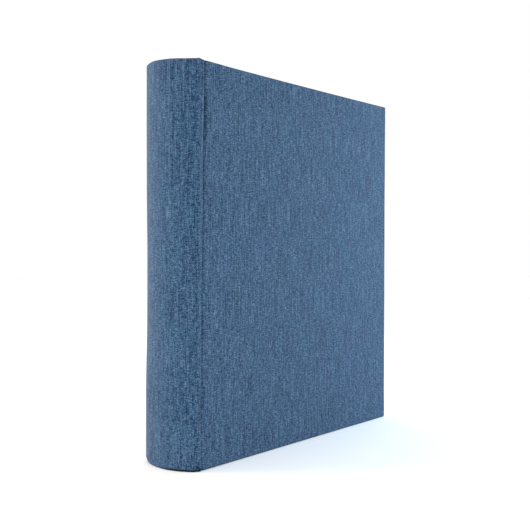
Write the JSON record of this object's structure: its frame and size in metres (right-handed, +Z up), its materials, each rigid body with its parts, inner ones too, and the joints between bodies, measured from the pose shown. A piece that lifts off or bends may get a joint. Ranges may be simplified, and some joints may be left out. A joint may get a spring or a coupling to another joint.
{
  "type": "scrapbook album",
  "caption": "Post-bound scrapbook album with stiff cloth-covered boards, a rounded hollow spine, inner flaps and card leaves on scored hinges between spacer guards.",
  "frame": {"origin": "centre of the closed album's footprint, on the plane that its tail edges stand on", "axes": "+Z up along the spine, +X from the spine to the fore edge, +Y from the front cover to the back cover"},
  "size_m": [0.271, 0.055, 0.302],
  "materials": {
    "linen_cloth": "matte woven blue linen",
    "greyboard": "matte",
    "endpaper": "matte",
    "guard_card": "matte",
    "leaf_card": "matte",
    "post_metal": "satin"
  },
  "bodies": {
    "binding": {"spine_board": "greyboard", "spine_cloth": "linen_cloth", "spine_liner": "endpaper", "front_joint_cloth": "linen_cloth", "back_joint_cloth": "linen_cloth", "front_flap_board": "greyboard", "front_flap_cover": "endpaper", "back_flap_board": "greyboard", "back_flap_cover": "endpaper", "guard_strips": "guard_card", "leaf_margins": "leaf_card", "post_barrels": "post_metal", "post_screws": "post_metal"},
    "front_cover": {"front_board": "greyboard", "front_cloth": "linen_cloth", "front_pastedown": "endpaper"},
    "back_cover": {"back_board": "greyboard", "back_cloth": "linen_cloth", "back_pastedown": "endpaper"},
    "leaf_01": {"leaf_01": "leaf_card"},
    "leaf_02": {"leaf_02": "leaf_card"},
    "leaf_03": {"leaf_03": "leaf_card"},
    "leaf_04": {"leaf_04": "leaf_card"},
    "leaf_05": {"leaf_05": "leaf_card"},
    "leaf_06": {"leaf_06": "leaf_card"},
    "leaf_07": {"leaf_07": "leaf_card"},
    "leaf_08": {"leaf_08": "leaf_card"},
    "leaf_09": {"leaf_09": "leaf_card"},
    "leaf_10": {"leaf_10": "leaf_card"},
    "leaf_11": {"leaf_11": "leaf_card"},
    "leaf_12": {"leaf_12": "leaf_card"},
    "leaf_13": {"leaf_13": "leaf_card"},
    "leaf_14": {"leaf_14": "leaf_card"},
    "leaf_15": {"leaf_15": "leaf_card"},
    "leaf_16": {"leaf_16": "leaf_card"},
    "leaf_17": {"leaf_17": "leaf_card"},
    "leaf_18": {"leaf_18": "leaf_card"},
    "leaf_19": {"leaf_19": "leaf_card"},
    "leaf_20": {"leaf_20": "leaf_card"},
    "leaf_21": {"leaf_21": "leaf_card"},
    "leaf_22": {"leaf_22": "leaf_card"},
    "leaf_23": {"leaf_23": "leaf_card"},
    "leaf_24": {"leaf_24": "leaf_card"}
  },
  "joints": [
    {"name": "front_cover_hinge", "type": "hinge", "parent": "binding", "child": "front_cover", "pos_m": [-0.1175, -0.0275, 0], "axis": [0, 0, -1], "range_deg": [0, 180], "deforming": ["front_joint_cloth"]},
    {"name": "back_cover_hinge", "type": "hinge", "parent": "binding", "child": "back_cover", "pos_m": [-0.1175, 0.0275, 0], "axis": [0, 0, 1], "range_deg": [0, 180], "deforming": ["back_joint_cloth"]},
    {"name": "leaf_01_hinge", "type": "hinge", "parent": "binding", "child": "leaf_01", "pos_m": [-0.0935, -0.0184, 0], "axis": [0, 0, -1], "range_deg": [0, 76.5]},
    {"name": "leaf_02_hinge", "type": "hinge", "parent": "binding", "child": "leaf_02", "pos_m": [-0.0935, -0.0168, 0], "axis": [0, 0, -1], "range_deg": [0, 69.89]},
    {"name": "leaf_03_hinge", "type": "hinge", "parent": "binding", "child": "leaf_03", "pos_m": [-0.0935, -0.0152, 0], "axis": [0, 0, -1], "range_deg": [0, 63.28]},
    {"name": "leaf_04_hinge", "type": "hinge", "parent": "binding", "child": "leaf_04", "pos_m": [-0.0935, -0.0136, 0], "axis": [0, 0, -1], "range_deg": [0, 56.67]},
    {"name": "leaf_05_hinge", "type": "hinge", "parent": "binding", "child": "leaf_05", "pos_m": [-0.0935, -0.012, 0], "axis": [0, 0, -1], "range_deg": [0, 50.06]},
    {"name": "leaf_06_hinge", "type": "hinge", "parent": "binding", "child": "leaf_06", "pos_m": [-0.0935, -0.0104, 0], "axis": [0, 0, -1], "range_deg": [0, 43.46]},
    {"name": "leaf_07_hinge", "type": "hinge", "parent": "binding", "child": "leaf_07", "pos_m": [-0.0935, -0.0088, 0], "axis": [0, 0, -1], "range_deg": [0, 36.85]},
    {"name": "leaf_08_hinge", "type": "hinge", "parent": "binding", "child": "leaf_08", "pos_m": [-0.0935, -0.0072, 0], "axis": [0, 0, -1], "range_deg": [0, 30.24]},
    {"name": "leaf_09_hinge", "type": "hinge", "parent": "binding", "child": "leaf_09", "pos_m": [-0.0935, -0.0056, 0], "axis": [0, 0, -1], "range_deg": [0, 23.63]},
    {"name": "leaf_10_hinge", "type": "hinge", "parent": "binding", "child": "leaf_10", "pos_m": [-0.0935, -0.004, 0], "axis": [0, 0, -1], "range_deg": [0, 17.02]},
    {"name": "leaf_11_hinge", "type": "hinge", "parent": "binding", "child": "leaf_11", "pos_m": [-0.0935, -0.0024, 0], "axis": [0, 0, -1], "range_deg": [0, 10.41]},
    {"name": "leaf_12_hinge", "type": "hinge", "parent": "binding", "child": "leaf_12", "pos_m": [-0.0935, -0.0008, 0], "axis": [0, 0, -1], "range_deg": [0, 3.8]},
    {"name": "leaf_13_hinge", "type": "hinge", "parent": "binding", "child": "leaf_13", "pos_m": [-0.0935, 0.0008, 0], "axis": [0, 0, 1], "range_deg": [0, 3.8]},
    {"name": "leaf_14_hinge", "type": "hinge", "parent": "binding", "child": "leaf_14", "pos_m": [-0.0935, 0.0024, 0], "axis": [0, 0, 1], "range_deg": [0, 10.41]},
    {"name": "leaf_15_hinge", "type": "hinge", "parent": "binding", "child": "leaf_15", "pos_m": [-0.0935, 0.004, 0], "axis": [0, 0, 1], "range_deg": [0, 17.02]},
    {"name": "leaf_16_hinge", "type": "hinge", "parent": "binding", "child": "leaf_16", "pos_m": [-0.0935, 0.0056, 0], "axis": [0, 0, 1], "range_deg": [0, 23.63]},
    {"name": "leaf_17_hinge", "type": "hinge", "parent": "binding", "child": "leaf_17", "pos_m": [-0.0935, 0.0072, 0], "axis": [0, 0, 1], "range_deg": [0, 30.24]},
    {"name": "leaf_18_hinge", "type": "hinge", "parent": "binding", "child": "leaf_18", "pos_m": [-0.0935, 0.0088, 0], "axis": [0, 0, 1], "range_deg": [0, 36.85]},
    {"name": "leaf_19_hinge", "type": "hinge", "parent": "binding", "child": "leaf_19", "pos_m": [-0.0935, 0.0104, 0], "axis": [0, 0, 1], "range_deg": [0, 43.46]},
    {"name": "leaf_20_hinge", "type": "hinge", "parent": "binding", "child": "leaf_20", "pos_m": [-0.0935, 0.012, 0], "axis": [0, 0, 1], "range_deg": [0, 50.06]},
    {"name": "leaf_21_hinge", "type": "hinge", "parent": "binding", "child": "leaf_21", "pos_m": [-0.0935, 0.0136, 0], "axis": [0, 0, 1], "range_deg": [0, 56.67]},
    {"name": "leaf_22_hinge", "type": "hinge", "parent": "binding", "child": "leaf_22", "pos_m": [-0.0935, 0.0152, 0], "axis": [0, 0, 1], "range_deg": [0, 63.28]},
    {"name": "leaf_23_hinge", "type": "hinge", "parent": "binding", "child": "leaf_23", "pos_m": [-0.0935, 0.0168, 0], "axis": [0, 0, 1], "range_deg": [0, 69.89]},
    {"name": "leaf_24_hinge", "type": "hinge", "parent": "binding", "child": "leaf_24", "pos_m": [-0.0935, 0.0184, 0], "axis": [0, 0, 1], "range_deg": [0, 76.5]}
  ],
  "couplings": [
    {"joint": "leaf_01_hinge", "follows": "front_cover_hinge", "ratio": 0.42222},
    {"joint": "leaf_02_hinge", "follows": "front_cover_hinge", "ratio": 0.38551},
    {"joint": "leaf_03_hinge", "follows": "front_cover_hinge", "ratio": 0.34879},
    {"joint": "leaf_04_hinge", "follows": "front_cover_hinge", "ratio": 0.31208},
    {"joint": "leaf_05_hinge", "follows": "front_cover_hinge", "ratio": 0.27536},
    {"joint": "leaf_06_hinge", "follows": "front_cover_hinge", "ratio": 0.23865},
    {"joint": "leaf_07_hinge", "follows": "front_cover_hinge", "ratio": 0.20193},
    {"joint": "leaf_08_hinge", "follows": "front_cover_hinge", "ratio": 0.16522},
    {"joint": "leaf_09_hinge", "follows": "front_cover_hinge", "ratio": 0.1285},
    {"joint": "leaf_10_hinge", "follows": "front_cover_hinge", "ratio": 0.09179},
    {"joint": "leaf_11_hinge", "follows": "front_cover_hinge", "ratio": 0.05507},
    {"joint": "leaf_12_hinge", "follows": "front_cover_hinge", "ratio": 0.01836},
    {"joint": "leaf_13_hinge", "follows": "back_cover_hinge", "ratio": 0.01836},
    {"joint": "leaf_14_hinge", "follows": "back_cover_hinge", "ratio": 0.05507},
    {"joint": "leaf_15_hinge", "follows": "back_cover_hinge", "ratio": 0.09179},
    {"joint": "leaf_16_hinge", "follows": "back_cover_hinge", "ratio": 0.1285},
    {"joint": "leaf_17_hinge", "follows": "back_cover_hinge", "ratio": 0.16522},
    {"joint": "leaf_18_hinge", "follows": "back_cover_hinge", "ratio": 0.20193},
    {"joint": "leaf_19_hinge", "follows": "back_cover_hinge", "ratio": 0.23865},
    {"joint": "leaf_20_hinge", "follows": "back_cover_hinge", "ratio": 0.27536},
    {"joint": "leaf_21_hinge", "follows": "back_cover_hinge", "ratio": 0.31208},
    {"joint": "leaf_22_hinge", "follows": "back_cover_hinge", "ratio": 0.34879},
    {"joint": "leaf_23_hinge", "follows": "back_cover_hinge", "ratio": 0.38551},
    {"joint": "leaf_24_hinge", "follows": "back_cover_hinge", "ratio": 0.42222}
  ]
}
